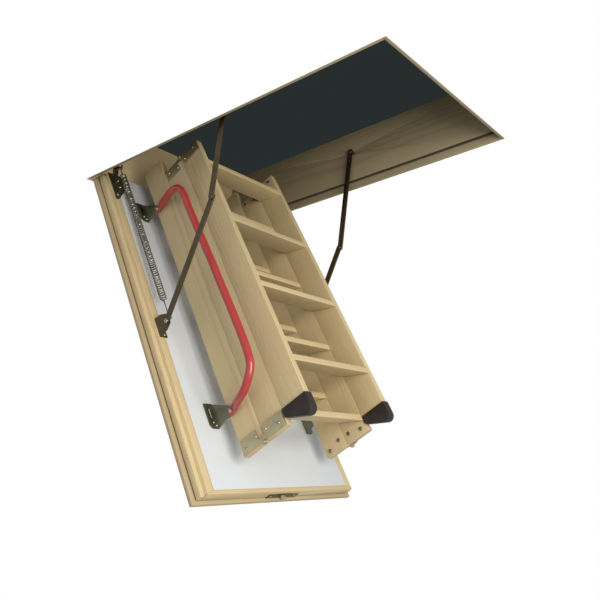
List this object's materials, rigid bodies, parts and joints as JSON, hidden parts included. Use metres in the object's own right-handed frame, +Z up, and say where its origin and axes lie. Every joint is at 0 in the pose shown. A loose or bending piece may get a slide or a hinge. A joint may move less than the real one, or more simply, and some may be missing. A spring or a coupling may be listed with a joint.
{
  "type": "attic ladder",
  "caption": "Folding wooden attic ladder on a hinged white hatch in a ceiling box, with red handrail, stay arms, springs and latch; hatch open, sections folded.",
  "frame": {"origin": "centre of the outer face of the box board that carries the hatch hinges, at half the box's height", "axes": "+X from the hinge end to the latch end of the box, +Y to the right of a person who faces the ladder from the latch end, +Z up into the attic; the ceiling is at z = -0.108 m"},
  "size_m": [1.192, 0.688, 1.2586],
  "materials": {
    "pine": "planed pine, clear sealed",
    "box_board": "planed spruce, unsealed",
    "white_panel": "fibreboard with satin white lacquer",
    "insulation": "cut insulation board, enclosed",
    "dark_steel": "dark bronze plating",
    "zinc_steel": "grey-green zinc plating",
    "red_enamel": "gloss red enamel",
    "foot_rubber": "moulded, matt",
    "spring_steel": "oiled spring wire"
  },
  "bodies": {
    "frame": {"frame_board_hinge": "box_board", "frame_board_front": "box_board", "frame_board_right": "box_board", "frame_board_left": "box_board", "frame_hinge_leaf_right": "dark_steel", "frame_hinge_leaf_left": "dark_steel"},
    "latch_keeper": {"latch_keeper": "zinc_steel"},
    "hatch": {"hatch_rail_front": "pine", "hatch_rail_hinge": "pine", "hatch_core": "insulation", "hatch_panel_lower": "white_panel", "hatch_panel_upper": "white_panel", "hatch_stile_right": "pine", "hatch_stile_left": "pine", "hatch_hinge_strap_right": "dark_steel", "hatch_hinge_strap_left": "dark_steel", "latch_case": "dark_steel", "ladder_bracket_upper_right": "zinc_steel", "ladder_bracket_upper_left": "zinc_steel", "ladder_bracket_lower_right": "zinc_steel", "ladder_bracket_lower_left": "zinc_steel", "handrail": "red_enamel", "arm_bracket_right": "dark_steel", "arm_bracket_left": "dark_steel", "spring_right": "spring_steel", "spring_left": "spring_steel", "section_1_stringer_right": "pine", "section_1_stringer_left": "pine", "section_1_tread_1": "pine", "section_1_tread_2": "pine", "section_1_tread_3": "pine", "section_1_tread_4": "pine", "lower_hinge_leaf_1_right": "zinc_steel", "lower_hinge_leaf_1_left": "zinc_steel"},
    "latch_bolt": {"latch_bolt": "zinc_steel"},
    "latch_knob": {"latch_knob": "zinc_steel"},
    "section_2": {"section_2_stringer_right": "pine", "section_2_stringer_left": "pine", "section_2_tread_1": "pine", "section_2_tread_2": "pine", "section_2_tread_3": "pine", "section_2_tread_4": "pine", "lower_hinge_leaf_2_right": "zinc_steel", "lower_hinge_leaf_2_left": "zinc_steel", "upper_hinge_leaf_2_right": "zinc_steel", "upper_hinge_leaf_2_left": "zinc_steel"},
    "section_3": {"section_3_stringer_right": "pine", "section_3_stringer_left": "pine", "section_3_tread_1": "pine", "section_3_tread_2": "pine", "section_3_tread_3": "pine", "section_3_tread_4": "pine", "upper_hinge_leaf_3_right": "zinc_steel", "upper_hinge_leaf_3_left": "zinc_steel", "foot_right": "foot_rubber", "foot_left": "foot_rubber"},
    "upper_arm_right": {"upper_arm_right": "dark_steel"},
    "upper_arm_left": {"upper_arm_left": "dark_steel"},
    "lower_arm_right": {"lower_arm_right": "dark_steel"},
    "lower_arm_left": {"lower_arm_left": "dark_steel"}
  },
  "joints": [
    {"name": "hatch_hinge", "type": "hinge", "parent": "frame", "child": "hatch", "pos_m": [0.018, 0, -0.108], "axis": [0, 1, 0], "range_deg": [-64, 0], "deforming": ["spring_right", "spring_left"]},
    {"name": "section_2_hinge", "type": "hinge", "parent": "hatch", "child": "section_2", "pos_m": [0.6525, 0, -1.00014], "axis": [0, 1, 0], "range_deg": [0, 180]},
    {"name": "section_3_hinge", "type": "hinge", "parent": "section_2", "child": "section_3", "pos_m": [0.29218, 0, -0.06884], "axis": [0, -1, 0], "range_deg": [0, 180]},
    {"name": "latch_bolt_slide", "type": "slide", "parent": "hatch", "child": "latch_bolt", "axis": [0.4384, 0, -0.8988], "range_m": [-0.008, 0], "stiffness_N_per_m": 400, "springref_m": 0.004},
    {"name": "latch_knob_turn", "type": "hinge", "parent": "hatch", "child": "latch_knob", "pos_m": [0.51064, 0, -1.12719], "axis": [0.8988, 0, 0.4384], "range_deg": [0, 90]},
    {"name": "latch_keeper_adjust", "type": "slide", "parent": "frame", "child": "latch_keeper", "axis": [0, 0, 1], "range_m": [0, 0.003]},
    {"name": "upper_arm_right_pivot", "type": "hinge", "parent": "frame", "child": "upper_arm_right", "pos_m": [0.63, 0.308, 0.025], "axis": [0, 1, 0], "range_deg": [-156.38, 0]},
    {"name": "upper_arm_left_pivot", "type": "hinge", "parent": "frame", "child": "upper_arm_left", "pos_m": [0.63, -0.308, 0.025], "axis": [0, 1, 0], "range_deg": [-156.38, 0]},
    {"name": "lower_arm_right_pivot", "type": "hinge", "parent": "hatch", "child": "lower_arm_right", "pos_m": [0.38471, 0.303, -0.65456], "axis": [0, 1, 0], "range_deg": [0, 61.09]},
    {"name": "lower_arm_left_pivot", "type": "hinge", "parent": "hatch", "child": "lower_arm_left", "pos_m": [0.38471, -0.303, -0.65456], "axis": [0, 1, 0], "range_deg": [0, 61.09]}
  ],
  "couplings": [
    {"joint": "section_3_hinge", "follows": "section_2_hinge", "ratio": 1},
    {"joint": "upper_arm_right_pivot", "follows": "hatch_hinge", "ratio": 2.4426},
    {"joint": "upper_arm_left_pivot", "follows": "hatch_hinge", "ratio": 2.4426},
    {"joint": "lower_arm_right_pivot", "follows": "hatch_hinge", "ratio": -0.9537},
    {"joint": "lower_arm_left_pivot", "follows": "hatch_hinge", "ratio": -0.9537}
  ]
}
